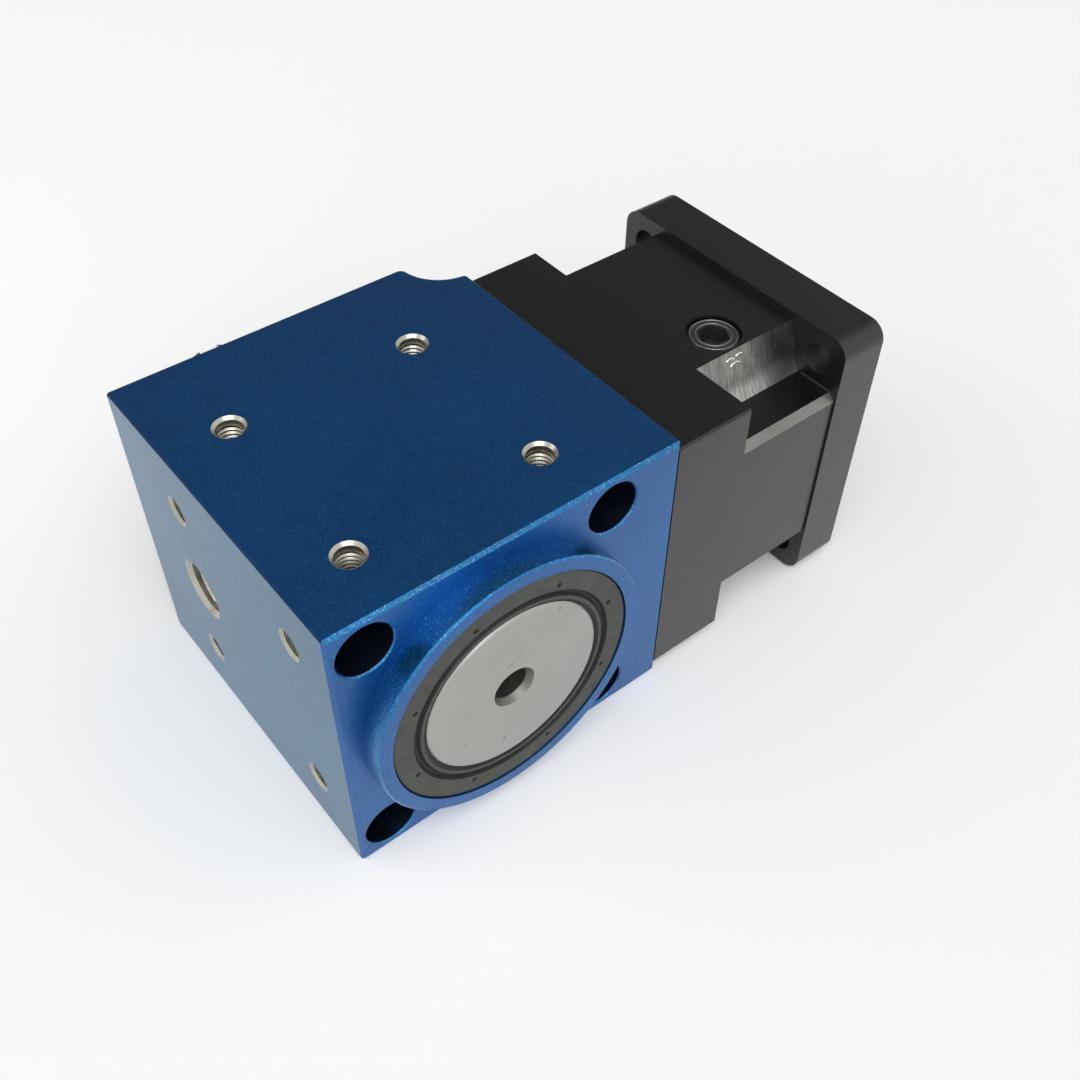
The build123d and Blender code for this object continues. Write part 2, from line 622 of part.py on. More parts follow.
# ---------------------------------------------------------------- motor adapter
adapter_mid_y = (adapter_front_y + adapter_rear_y) / 2
adapter_w = adapter_rear_y - adapter_front_y
with BuildPart() as motor_adapter:
    with BuildSketch(Plane(origin=(face_x, adapter_mid_y, 0), x_dir=(0, 1, 0), z_dir=(1, 0, 0))):
        Rectangle(adapter_w, 2 * adapter_half_z)
    extrude(amount=flange_x - face_x)
    # corner notches for the motor bolts
    for sy in (-1, 1):
        for sz in (-1, 1):
            corner = (0, adapter_mid_y + sy * adapter_w / 2, sz * adapter_half_z)
            with BuildSketch(Plane(origin=corner, x_dir=(1, 0, 0), z_dir=(0, -sy, 0))):
                with Locations(((plate_end_x + flange_x) / 2, 0)):
                    RectangleRounded(flange_x - plate_end_x, 2 * notch_depth_z, notch_corner_r)
            extrude(amount=notch_depth_y, mode=Mode.SUBTRACT)
    # front and rear faces of the body, slightly inside the plate
    body_mid_x = (plate_end_x + flange_x) / 2
    body_faces_y = (adapter_front_y + body_inset, adapter_rear_y - body_inset)
    with BuildSketch(Plane.XY.offset(-adapter_half_z)):
        for face_y in (adapter_front_y, adapter_rear_y):
            with Locations((body_mid_x, face_y)):
                Rectangle(flange_x - plate_end_x, 2 * body_inset)
    extrude(amount=2 * adapter_half_z, mode=Mode.SUBTRACT)
    # broad bevels along the notch floors
    for sy, face_y in zip((-1, 1), body_faces_y):
        for sz in (-1, 1):
            edge_z = sz * (adapter_half_z - notch_depth_z)
            inner_y = face_y - sy * floor_chamfer
            with BuildSketch(Plane(origin=(plate_end_x, 0, 0), x_dir=(0, 1, 0), z_dir=(1, 0, 0))):
                with BuildLine():
                    Polyline(
                        (face_y, edge_z - sz * floor_chamfer),
                        (inner_y, edge_z),
                        (inner_y, edge_z + sz),
                        (face_y + sy, edge_z + sz),
                        (face_y + sy, edge_z - sz * floor_chamfer),
                        close=True,
                    )
                make_face()
            extrude(amount=flange_x - plate_end_x, mode=Mode.SUBTRACT)
    plate_corners = motor_adapter.edges().filter_by(Axis.X).filter_by(
        lambda e: e.center().X < plate_end_x and abs(abs(e.center().Z) - adapter_half_z) < 0.1
    )
    chamfer(plate_corners, 0.6)
    # milled cut that widens the upper front notch
    with BuildSketch(Plane(origin=(plate_end_x, 0, 0), x_dir=(0, 1, 0), z_dir=(1, 0, 0))):
        with BuildLine():
            floor_z = adapter_half_z - notch_depth_z
            wall_y = adapter_front_y + notch_depth_y
            ThreePointArc((wall_y, floor_z), (16.9, 30.0), (17.9, cut_band_z))
            Polyline(
                (17.9, cut_band_z),
                (cut_top_y, adapter_half_z),
                (cut_top_y, adapter_half_z + 2),
                (wall_y - 1, adapter_half_z + 2),
                (wall_y - 1, floor_z),
                (wall_y, floor_z),
            )
        make_face()
    extrude(amount=flange_x - plate_end_x, mode=Mode.SUBTRACT)
    # motor flange
    with BuildSketch(input_plane(flange_x)):
        RectangleRounded(2 * flange_half, 2 * flange_half, flange_corner_r)
    extrude(amount=motor_face_x - flange_x)
    flange_rims = motor_adapter.edges().filter_by(Axis.X, reverse=True).filter_by(
        lambda e: abs(e.center().X - motor_face_x) < 0.01
    )
    chamfer(flange_rims, flange_edge)
    # bores along the input axis
    bores = [
        (face_x, seal_step_x[0], 19.0),
        (seal_step_x[0], seal_step_x[1], 15.0),
        (input_seal_x[0], input_seal_x[1], pinion_bore_r),
        (input_seal_x[1], motor_face_x - motor_pilot_depth, inner_r),
        (motor_face_x - motor_pilot_depth, motor_face_x, motor_pilot_r),
    ]
    for x_from, x_to, r in bores:
        with BuildSketch(input_plane(x_from)):
            Circle(r)
        extrude(amount=x_to - x_from, mode=Mode.SUBTRACT)
    # access hole above the clamp screw
    with BuildSketch(Plane(origin=(access_x, access_y, 20), x_dir=(1, 0, 0), z_dir=(0, 0, 1))):
        Circle(access_r)
    extrude(amount=30, mode=Mode.SUBTRACT)
    # motor bolt holes through the flange
    motor_points = [(sy * bolt_step, sz * bolt_step) for sy in (-1, 1) for sz in (-1, 1)]
    with Locations(input_plane(motor_face_x)):
        with Locations(*motor_points):
            Hole(motor_hole_r, motor_face_x - flange_x + 0.5)
    # adapter screws and dowels
    with Locations(input_plane(plate_end_x)):
        with Locations(*screw_points):
            CounterBoreHole(screw_r, screw_head_r + 0.5, plate_end_x - screw_seat_x, plate_end_x - face_x)
    with Locations(Plane(origin=(face_x, input_y, 0), x_dir=(0, 1, 0), z_dir=(-1, 0, 0))):
        with Locations((0, dowel_z), (0, -dowel_z)):
            Hole(2.5, 8)
save(motor_adapter.part, "motor_adapter")

with BuildPart() as access_plug:
    plug_top = adapter_half_z - 0.7
    with BuildSketch(Plane(origin=(access_x, access_y, plug_top), x_dir=(1, 0, 0), z_dir=(0, 0, 1))):
        Circle(access_r)
    extrude(amount=-8)
    chamfer(access_plug.faces().sort_by(Axis.Z)[-1].edges(), 0.9)
    with BuildSketch(Plane(origin=(access_x, access_y, plug_top), x_dir=(1, 0, 0), z_dir=(0, 0, 1))):
        RegularPolygon(4.0, 6, major_radius=False)
    extrude(amount=-5, mode=Mode.SUBTRACT)
save(access_plug.part, "access_plug")

with BuildPart() as adapter_screws:
    for y, z in screw_points:
        with BuildSketch(Plane(origin=(screw_tip_x, input_y + y, z), x_dir=(0, 1, 0), z_dir=(1, 0, 0))):
            Circle(screw_r)
        extrude(amount=screw_seat_x - screw_tip_x)
        with BuildSketch(Plane(origin=(screw_seat_x, input_y + y, z), x_dir=(0, 1, 0), z_dir=(1, 0, 0))):
            Circle(screw_head_r)
        extrude(amount=screw_head_h)
        socket_x = screw_seat_x + screw_head_h
        with BuildSketch(Plane(origin=(socket_x, input_y + y, z), x_dir=(0, 1, 0), z_dir=(1, 0, 0))):
            RegularPolygon(2.5, 6, major_radius=False)
        extrude(amount=-3, mode=Mode.SUBTRACT)
save(adapter_screws.part, "adapter_screws")

with BuildPart() as dowel_pins:
    for z in (dowel_z, -dowel_z):
        with BuildSketch(Plane(origin=(face_x - 7.5, input_y, z), x_dir=(0, 1, 0), z_dir=(1, 0, 0))):
            Circle(2.5)
        extrude(amount=15)
save(dowel_pins.part, "dowel_pins")

ring_section_r = 0.94
with BuildPart() as interface_o_ring:
    with BuildSketch(input_profile):
        with Locations((face_x - 0.95, 25.5)):
            Circle(ring_section_r)
    revolve(axis=input_axis)
save(interface_o_ring.part, "interface_o_ring")
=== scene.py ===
import json
import math

import bpy
from mathutils import Matrix, Vector


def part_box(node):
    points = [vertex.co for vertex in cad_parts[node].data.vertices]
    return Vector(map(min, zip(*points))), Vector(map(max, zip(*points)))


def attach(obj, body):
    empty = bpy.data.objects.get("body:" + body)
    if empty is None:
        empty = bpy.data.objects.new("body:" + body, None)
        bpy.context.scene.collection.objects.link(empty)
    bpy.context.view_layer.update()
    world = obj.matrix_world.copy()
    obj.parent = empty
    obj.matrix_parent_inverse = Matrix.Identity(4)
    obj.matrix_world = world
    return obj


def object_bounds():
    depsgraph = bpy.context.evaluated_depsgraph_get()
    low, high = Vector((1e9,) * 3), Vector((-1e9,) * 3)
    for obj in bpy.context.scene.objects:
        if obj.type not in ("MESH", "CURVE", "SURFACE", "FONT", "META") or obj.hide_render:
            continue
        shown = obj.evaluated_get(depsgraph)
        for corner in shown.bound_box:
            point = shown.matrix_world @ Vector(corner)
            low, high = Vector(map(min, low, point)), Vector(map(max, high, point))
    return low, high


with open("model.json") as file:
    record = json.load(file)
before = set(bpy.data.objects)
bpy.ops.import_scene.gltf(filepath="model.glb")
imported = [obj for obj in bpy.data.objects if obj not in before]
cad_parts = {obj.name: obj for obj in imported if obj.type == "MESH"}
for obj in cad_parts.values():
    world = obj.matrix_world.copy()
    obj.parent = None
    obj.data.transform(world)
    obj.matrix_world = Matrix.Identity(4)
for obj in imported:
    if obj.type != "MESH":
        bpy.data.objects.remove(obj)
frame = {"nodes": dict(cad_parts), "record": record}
cad_low, cad_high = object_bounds()
nodes = frame["nodes"]
MM = 0.001

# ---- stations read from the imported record, in metres ----
mounts = {m["name"]: m for m in frame["record"]["mounts"]}
INPUT_Y = mounts["motor_pilot"]["pos_m"][1]
BLOCK_X = (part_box("gear_housing")[0].x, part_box("motor_adapter")[0].x)
BLOCK_Y = (0.0, mounts["rear_pilot"]["pos_m"][1])
BLOCK_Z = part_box("gear_housing")[1].z
PILOT_R = mounts["front_pilot"]["dims"]["r_mm"] * MM


# ------------------------------------------------------------------ shader helpers
def shade(color, factor, lift=0.0):
    """A colour made darker or lighter, and lifted, but never above one."""
    return tuple(min(1.0, c * factor + lift) for c in color)


class Shader:
    """A small builder for one procedural material."""

    def __init__(self, name):
        self.material = bpy.data.materials.new(name)
        self.material.use_nodes = True
        self.tree = self.material.node_tree
        self.bsdf = self.tree.nodes["Principled BSDF"]
        coordinates = self.tree.nodes.new("ShaderNodeTexCoord")
        self.place = coordinates.outputs["Object"]

    def node(self, kind, **settings):
        made = self.tree.nodes.new(kind)
        for key, value in settings.items():
            setattr(made, key, value)
        return made

    def join(self, source, target):
        self.tree.links.new(source, target)

    def math(self, operation, a, b=None):
        made = self.node("ShaderNodeMath", operation=operation)
        for socket, value in zip(made.inputs, (a, b)):
            if value is None:
                continue
            if isinstance(value, (int, float)):
                socket.default_value = value
            else:
                self.join(value, socket)
        return made.outputs[0]

    def stretched(self, scale, turn=(0, 0, 0)):
        made = self.node("ShaderNodeMapping")
        made.inputs["Scale"].default_value = scale
        made.inputs["Rotation"].default_value = turn
        self.join(self.place, made.inputs["Vector"])
        return made.outputs["Vector"]

    def noise(self, size, detail=3.0, rough=0.55, vector=None):
        """Noise whose features are about size metres across."""
        made = self.node("ShaderNodeTexNoise")
        made.inputs["Scale"].default_value = 1.0 / size
        made.inputs["Detail"].default_value = detail
        made.inputs["Roughness"].default_value = rough
        self.join(vector or self.place, made.inputs["Vector"])
        return made.outputs["Fac"]

    def cells(self, size):
        """Two random numbers for each cell of about size metres."""
        made = self.node("ShaderNodeTexVoronoi")
        made.inputs["Scale"].default_value = 1.0 / size
        self.join(self.place, made.inputs["Vector"])
        split = self.node("ShaderNodeSeparateColor")
        self.join(made.outputs["Color"], split.inputs["Color"])
        return split.outputs["Red"], split.outputs["Green"]

    def spread(self, value, low, high, to_low=0.0, to_high=1.0):
        made = self.node("ShaderNodeMapRange")
        made.inputs["From Min"].default_value = low
        made.inputs["From Max"].default_value = high
        made.inputs["To Min"].default_value = to_low
        made.inputs["To Max"].default_value = to_high
        self.join(value, made.inputs["Value"])
        return made.outputs["Result"]

    def mix(self, factor, a, b):
        made = self.node("ShaderNodeMix", data_type="RGBA")
        for socket, value in ((made.inputs[0], factor), (made.inputs[6], a), (made.inputs[7], b)):
            if isinstance(value, (int, float)):
                socket.default_value = value
            elif isinstance(value, tuple):
                socket.default_value = (*value, 1.0)
            else:
                self.join(value, socket)
        return made.outputs[2]

    def bump(self, height, depth, strength=1.0, below=None):
        made = self.node("ShaderNodeBump")
        made.inputs["Distance"].default_value = depth
        made.inputs["Strength"].default_value = strength
        self.join(height, made.inputs["Height"])
        if below is not None:
            self.join(below, made.inputs["Normal"])
        return made.outputs["Normal"]

    def around(self, axis):
        """Radius and station about an axis of the frame."""
        split = self.node("ShaderNodeSeparateXYZ")
        self.join(self.place, split.inputs[0])
        a, b = [split.outputs[k] for k in "XYZ" if k != axis]
        squares = self.math("ADD", self.math("MULTIPLY", a, a), self.math("MULTIPLY", b, b))
        return self.math("SQRT", squares), split.outputs[axis]

    def vector(self, x, y, z):
        made = self.node("ShaderNodeCombineXYZ")
        for socket, value in zip(made.inputs, (x, y, z)):
            if isinstance(value, (int, float)):
                socket.default_value = value
            else:
                self.join(value, socket)
        return made.outputs["Vector"]

    def set(self, **values):
        names = {
            "metallic": "Metallic",
            "roughness": "Roughness",
            "color": "Base Color",
            "normal": "Normal",
            "coat": "Coat Weight",
            "coat_roughness": "Coat Roughness",
            "specular": "Specular IOR Level",
        }
        for key, value in values.items():
            socket = self.bsdf.inputs[names[key]]
            if isinstance(value, tuple):
                socket.default_value = (*value, 1.0)
            elif isinstance(value, (int, float)):
                socket.default_value = value
            else:
                self.join(value, socket)
        return self.material


def anodised(name, base, glint, glint_share, roughness, coat, grain=0.00022, cloudy=0.10):
    """Bead-blasted, anodised aluminium under a clear skin: tiny bumped facets, and a painted highlight, the
    glint colour, on a few random cells.
    """
    s = Shader(name)
    pick, tilt = s.cells(grain)
    cloud = s.noise(0.035, 2.0)
    fine = s.noise(grain * 1.6, 4.0, 0.7)
    body = s.mix(s.spread(cloud, 0.35, 0.65), shade(base, 1 - cloudy), shade(base, 1 + cloudy))
    body = s.mix(s.spread(fine, 0.3, 0.7, 0.0, 0.45), body, shade(base, 0.66))
    # painted highlight: a few random cells take the glint colour
    painted_glint_mask = s.spread(pick, 1.0 - glint_share, 1.0, 0.0, 0.8)
    color = s.mix(painted_glint_mask, body, glint)
    facets = s.bump(tilt, 0.000012, 0.5)
    normal = s.bump(fine, 0.00002, 0.35, facets)
    rough = s.spread(s.noise(0.004, 3.0), 0.3, 0.7, roughness - 0.03, roughness + 0.03)
    return s.set(color=color, metallic=1.0, roughness=rough, normal=normal, coat=coat, coat_roughness=0.30)


def cut_metal(name, base, axis, ring=0.00025, roughness=0.28, strength=0.5):
    """Bare metal with concentric tool marks about an axis."""
    s = Shader(name)
    radius, along = s.around(axis)
    rings = s.vector(s.math("DIVIDE", radius, ring), s.math("DIVIDE", along, ring), 0.0)
    marks = s.noise(1.0, 2.0, 0.6, rings)
    cloud = s.noise(0.006, 3.0)
    tone = s.mix(s.spread(cloud, 0.3, 0.7), shade(base, 0.86), shade(base, 1.1))
    tone = s.mix(s.spread(marks, 0.35, 0.65, 0.0, 0.3), tone, shade(base, 0.6))
    normal = s.bump(marks, ring * 0.12, strength)
    rough = s.spread(cloud, 0.3, 0.7, roughness - 0.06, roughness + 0.08)
    return s.set(color=tone, metallic=1.0, roughness=rough, normal=normal)


def ground_steel(name, base, roughness=0.34):
    """Ground steel with fine scratches, a light haze and a few small pits."""
    s = Shader(name)
    streaks = s.noise(0.0006, 4.0, 0.65, s.stretched((0.05, 1.0, 1.0), (0.0, 0.5, 0.0)))
    cross = s.noise(0.0005, 3.0, 0.6, s.stretched((1.0, 1.0, 0.06), (0.0, 0.25, 0.0)))
    cloud = s.noise(0.012, 4.0, 0.6)
    pick, _ = s.cells(0.0011)
    pits = s.math("GREATER_THAN", pick, 0.998)
    tone = s.mix(s.spread(cloud, 0.3, 0.7), shade(base, 0.93), shade(base, 1.05))
    tone = s.mix(s.spread(streaks, 0.42, 0.72, 0.0, 0.22), tone, shade(base, 0.7))
    tone = s.mix(s.math("MULTIPLY", pits, 0.45), tone, shade(base, 0.35))
    normal = s.bump(streaks, 0.000012, 0.35)
    normal = s.bump(cross, 0.000010, 0.25, normal)
    rough = s.spread(cloud, 0.3, 0.7, roughness - 0.05, roughness + 0.07)
    return s.set(color=tone, metallic=1.0, roughness=rough, normal=normal)


def polished_steel(name, base, roughness, grain=0.0008):
    """Smooth steel with a faint cloud and fine marks."""
    s = Shader(name)
    fine = s.noise(grain, 3.0)
    cloud = s.noise(0.01, 3.0)
    tone = s.mix(s.spread(cloud, 0.3, 0.7), shade(base, 0.88), base)
    rough = s.spread(fine, 0.3, 0.7, roughness * 0.8, roughness * 1.25)
    return s.set(color=tone, metallic=1.0, roughness=rough, normal=s.bump(fine, 0.000008, 0.3))


def dark_steel(name, base, roughness):
    """Black-oxide steel with rubbed spots."""
    s = Shader(name)
    fine = s.noise(0.0005, 4.0)
    cloud = s.noise(0.005, 4.0, 0.65)
    rubbed = s.spread(cloud, 0.60, 0.78, 0.0, 0.55)
    tone = s.mix(rubbed, base, shade(base, 2.6, 0.03))
    rough = s.spread(fine, 0.3, 0.7, roughness - 0.06, roughness + 0.08)
    return s.set(color=tone, metallic=0.85, roughness=rough, normal=s.bump(fine, 0.000012, 0.4))


def moulded_rubber(name, base):
    """Dull rubber with a little dust."""
    s = Shader(name)
    fine = s.noise(0.0004, 4.0)
    dust = s.noise(0.004, 4.0, 0.7)
    tone = s.mix(s.spread(dust, 0.35, 0.7), base, shade(base, 1.5, 0.008))
    rough = s.spread(dust, 0.3, 0.7, 0.48, 0.62)
    return s.set(color=tone, metallic=0.0, roughness=rough, specular=0.25, normal=s.bump(fine, 0.00002, 0.35))


def moulded_plastic(name, base):
    """Moulded plastic with a faint cloud."""
    s = Shader(name)
    fine = s.noise(0.0006, 3.0)
    cloud = s.noise(0.006, 3.0)
    tone = s.mix(cloud, shade(base, 0.85), shade(base, 1.1))
    rough = s.spread(fine, 0.3, 0.7, 0.42, 0.55)
    return s.set(color=tone, metallic=0.0, roughness=rough, normal=s.bump(fine, 0.00001, 0.3))


def milled_cut(name, base):
    """Fresh milled aluminium with steep tool marks that vary in tone."""
    s = Shader(name)
    marks = s.noise(0.0007, 3.0, 0.6, s.stretched((1.0, 0.12, 0.12)))
    bands = s.noise(0.0022, 2.0, 0.5, s.stretched((1.0, 0.10, 0.10)))
    cloud = s.noise(0.004, 3.0)
    tone = s.mix(s.spread(marks, 0.35, 0.68), shade(base, 0.55), shade(base, 1.15))
    tone = s.mix(s.spread(cloud, 0.45, 0.75, 0.0, 0.35), tone, shade(base, 0.45))
    normal = s.bump(marks, 0.00005, 0.5)
    normal = s.bump(bands, 0.0001, 0.3, normal)
    return s.set(color=tone, metallic=1.0, roughness=0.33, normal=normal)


# the second colour of each anodised call below is a painted highlight on a few random cells
BLUE = (0.003, 0.116, 0.375)
# painted shade: a darker blue for the left face, with a heavier coat for haze, because of how light falls there
BLUE_LEFT_PAINTED_SHADE = (0.002, 0.122, 0.250)
BLUE_RING = (0.002, 0.160, 0.440)
BLACK = (0.020, 0.022, 0.019)
mat_blue = anodised("anodised_blue", BLUE, (0.05, 0.36, 0.66), 0.07, 0.50, 0.66)
mat_blue_left_painted_shade = anodised("anodised_blue_left_painted_shade", BLUE_LEFT_PAINTED_SHADE, (0.05, 0.20, 0.36), 0.05, 0.55, 0.80)
mat_blue_ring = anodised("anodised_blue_ring", BLUE_RING, (0.12, 0.60, 0.80), 0.12, 0.40, 0.70)
# painted highlight: a lighter copy for the chamfers that face up or right
mat_blue_painted_highlight_edge = anodised("anodised_blue_painted_highlight_edge", (0.008, 0.16, 0.40), (0.20, 0.55, 0.75), 0.16, 0.42, 0.60)
# painted shade: a dark copy for the top chamfers that face left
mat_blue_painted_shade_edge = anodised("anodised_blue_painted_shade_edge", (0.003, 0.045, 0.130), (0.02, 0.10, 0.18), 0.05, 0.50, 0.15)
# painted shade: a dark copy with little coat for the insides of the corner holes
mat_hole_painted_shade = anodised("anodised_blue_hole_painted_shade", (0.020, 0.032, 0.070), (0.04, 0.08, 0.12), 0.03, 0.5, 0.15)
mat_black = anodised("anodised_black", BLACK, (0.05, 0.05, 0.05), 0.05, 0.50, 0.84)
BLACK_HOLE = (0.085, 0.087, 0.082)
mat_black_hole = anodised("anodised_black_hole", BLACK_HOLE, (0.10, 0.10, 0.10), 0.05, 0.60, 0.6)
mat_bevel = anodised("worn_bevel", (0.21, 0.21, 0.196), (0.34, 0.34, 0.32), 0.08, 0.48, 0.7, 0.0004, 0.20)
mat_bare = cut_metal("bare_aluminium", (0.50, 0.485, 0.43), "Z")
mat_milled = milled_cut("milled_cut", (0.50, 0.495, 0.475))
# painted shade: the cut's steeper upper band is a darker copy of the milled aluminium
mat_milled_painted_shade = milled_cut("milled_cut_upper_painted_shade", (0.32, 0.32, 0.30))
# painted highlight: near-white metal for the thread ends on the cut
mat_bright_painted_highlight = cut_metal("bright_thread_painted_highlight", (0.86, 0.85, 0.80), "Z", roughness=0.20)
mat_rim = polished_steel("plug_rim", (0.30, 0.31, 0.28), 0.35)
mat_disc = ground_steel("ground_steel", (0.425, 0.42, 0.395))
# painted shade: a darker steel for the wall of the centre hole
mat_bore_painted_shade = cut_metal("centre_hole_painted_shade", (0.24, 0.235, 0.21), "Y", roughness=0.50)
# painted shade: a near-black copy of the rubber for the seal's lip, groove and outer bevel
mat_seal_painted_shade = moulded_rubber("seal_rubber_painted_shade", (0.008, 0.009, 0.008))
mat_steel = polished_steel("turned_steel", (0.52, 0.515, 0.50), 0.26)
mat_gear = polished_steel("gear_steel", (0.36, 0.35, 0.34), 0.30)
mat_bearing = polished_steel("bearing_steel", (0.70, 0.70, 0.70), 0.12)
mat_oxide = dark_steel("phosphated_steel", (0.075, 0.073, 0.07), 0.42)
mat_screw = dark_steel("black_screw_steel", (0.030, 0.030, 0.030), 0.36)
mat_rubber = moulded_rubber("seal_rubber", (0.042, 0.044, 0.038))
mat_cage = moulded_plastic("cage_polymer", (0.42, 0.36, 0.24))

SLOT_MATERIALS = {
    "anodised_blue": mat_blue,
    "anodised_black": mat_black,
    "ground_steel": mat_steel,
    "gear_steel": mat_gear,
    "bearing_steel": mat_bearing,
    "phosphated_steel": mat_oxide,
    "black_screw_steel": mat_screw,
    "seal_rubber": mat_rubber,
    "cage_polymer": mat_cage,
}
slot_of = {p["node"]: p["material_slot"] for p in frame["record"]["subparts"]}


def dress(node, materials, choose=None):
    """Give a CAD node its materials; choose(centre, normal) picks the index for each face."""
    mesh = nodes[node].data
    mesh.materials.clear()
    for material in materials:
        mesh.materials.append(material)
    for polygon in mesh.polygons:
        polygon.material_index = choose(polygon.center, polygon.normal) if choose else 0


def pattern(mount):
    """Hole centres of a rectangular mount, as offsets along its two row axes."""
    half_x = mounts[mount]["dims"]["spacing_x_mm"] * MM / 2
    half_y = mounts[mount]["dims"]["spacing_y_mm"] * MM / 2
    return [(sx * half_x, sy * half_y) for sx in (-1, 1) for sy in (-1, 1)]


# ------------------------------------------------------------------ stations on the faces, in metres
SLACK = 0.0001
FLAT = 0.99
TAP_MOUTH = 0.0044
TAP_DEPTH = 0.016
TAPPED = []
for mount in ("top_holes", "bottom_holes", "left_holes"):
    centre, axis = Vector(mounts[mount]["pos_m"]), Vector(mounts[mount]["axis"])
    rows = [Vector(v) for v in ((1, 0, 0), (0, 1, 0), (0, 0, 1)) if abs(Vector(v).dot(axis)) < 0.5]
    for i, (u, v) in enumerate(pattern(mount)):
        mouth = centre + rows[0] * u + rows[1] * v
        mouth += axis * (BLOCK_Z - abs(mouth.dot(axis)))
        TAPPED.append((f"{mount[:-6]}_{i + 1}", mouth, axis))


def in_tapped_hole(point, normal):
    """True on the countersink, wall or floor of a tapped hole."""
    for _, mouth, axis in TAPPED:
        offset = point - mouth
        depth = -offset.dot(axis)
        if -2 * SLACK < depth < TAP_DEPTH and (offset + axis * depth).length < TAP_MOUTH + SLACK:
            return abs(normal.dot(axis)) < FLAT or depth > 10 * SLACK
    return False


PORT_Y = (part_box("oil_plug")[0].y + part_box("oil_plug")[1].y) / 2
CORNER = mounts["through_holes"]["dims"]["pcd_mm"] * MM / 2 / math.sqrt(2)
SINK_R = 0.0076          # around a corner hole and its counterbore
PORT_R = 0.0092          # around the oil port and its countersink
PORT_DEPTH = 0.02
PILOT_WALL = 0.0025      # thinnest wall of the pilot ring around the seal
PILOT_EDGE = 0.0008
EDGE_BREAK = 0.0012


def housing_face(point, normal):
    """0 blue; 1 bare; 2 edge, painted highlight; 3 corner hole, painted shade; 4 hazy left side, painted shade;
    5 pilot ring side; 6 edge, painted shade.
    """
    if in_tapped_hole(point, normal):
        return 1
    from_port = math.hypot(point.y - PORT_Y, point.z)
    if from_port < PORT_R and point.x < BLOCK_X[0] + PORT_DEPTH and abs(normal.x) < FLAT:
        return 1
    from_axis = math.hypot(point.x, point.z)
    if from_axis < PILOT_R - PILOT_WALL and BLOCK_Y[0] < point.y < BLOCK_Y[1] and abs(normal.y) < FLAT:
        return 1
    from_corner_hole = math.hypot(abs(point.x) - CORNER, abs(point.z) - CORNER)
    # painted shade inside the corner holes
    if from_corner_hole < SINK_R and 5 * SLACK < point.y < BLOCK_Y[1] - 10 * SLACK:
        return 3
    # painted highlight: upward chamfers of the front edge take the lighter copy, the others stay plain blue
    if 0.0 < point.y < EDGE_BREAK and 0.2 < abs(normal.y) < 0.95 and from_axis > PILOT_R:
        return 2 if normal.z > 0.3 else 0
    # top chamfers: painted highlight on those facing right, painted shade on those facing left
    if abs(normal.x) > 0.4 and normal.z > 0.4 and abs(point.z - BLOCK_Z) < 6 * SLACK:
        return 2 if normal.x > 0 else 6
    # painted shade: the left face takes the darker, hazier copy of the blue
    if normal.x < -0.9 and abs(point.x - BLOCK_X[0]) < 1.2 * SLACK:
        return 4
    if point.y < -SLACK and from_axis > PILOT_R - PILOT_EDGE and normal.y > -0.95:
        return 5
    return 0


ADAPTER_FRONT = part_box("motor_adapter")[0].y
ADAPTER_REAR = 0.0896    # rear side of the adapter's plate
BODY_INSET = 0.0008      # the body behind the plate is this much narrower on each side
PLATE_END = 0.0818
FLANGE = 0.1180
NOTCH_FLOOR = 0.0276
NOTCH_WALL = 0.0152
BEVEL = 0.0022
CUT_BAND_Z = 0.0328      # the milled cut bends here, from its lower band to its upper band
CUT_BAND_Y = 0.0179
CUT_TOP_Z = 0.0421
CUT_TOP_Y = 0.0209
MOTOR_BOLT_R = 0.0047


def adapter_face(point, normal):
    """0 black, 1 bright lower band of the cut, 2 upper band of the cut in painted shade, 3 worn bevel, 4 motor
    bolt hole.
    """
    if PLATE_END < point.x < FLANGE:
        from_side = min(point.y - ADAPTER_FRONT, ADAPTER_REAR - point.y) - BODY_INSET
        by_floor = NOTCH_FLOOR - BEVEL - SLACK < abs(point.z) < NOTCH_FLOOR + SLACK
        sloping = 0.3 < abs(normal.y) < 0.95 and abs(normal.z) > 0.3
        if by_floor and -SLACK < from_side < BEVEL + SLACK and sloping:
            return 3
        in_cut = NOTCH_WALL - SLACK < point.y < CUT_TOP_Y + SLACK and point.z > NOTCH_FLOOR
        if in_cut and normal.y < -0.3 and abs(normal.x) < 0.1:
            # painted shade: the upper band takes the darker copy
            return 1 if point.z < CUT_BAND_Z else 2
    if point.x > FLANGE and abs(normal.x) < 0.1:
        if math.hypot(abs(point.y - INPUT_Y) - CORNER, abs(point.z) - CORNER) < MOTOR_BOLT_R:
            return 4
    return 0


SEAL_RINGS = ((0.0271, 0.0280), (0.0301, 0.0354))


def seal_face(point, normal):
    """0 grey rubber on the two flat rings, 1 darker rubber as painted shade on the lip, groove and outer bevel.
    """
    radius = math.hypot(point.x, point.z)
    return 0 if any(inner < radius < outer for inner, outer in SEAL_RINGS) else 1


def plug_face(point, normal):
    """0 dark walls and flats, 1 lighter rim."""
    return 1 if 0.3 < normal.z < 0.95 else 0


DISC_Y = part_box("output_shaft")[0].y
DISC_EDGE = 0.0006
FRONT_END = 0.03         # what lies further back than this is turned steel
CENTRE_HOLE_R = 0.0063


def shaft_face(point, normal):
    """0 turned steel, 1 ground disc, 2 wall of the centre hole, darker as painted shade."""
    radius = math.hypot(point.x, point.z)
    if point.y > DISC_Y + FRONT_END:
        return 0
    if radius < CENTRE_HOLE_R and abs(normal.y) < FLAT:
        return 2
    return 1 if point.y < DISC_Y + DISC_EDGE else 0


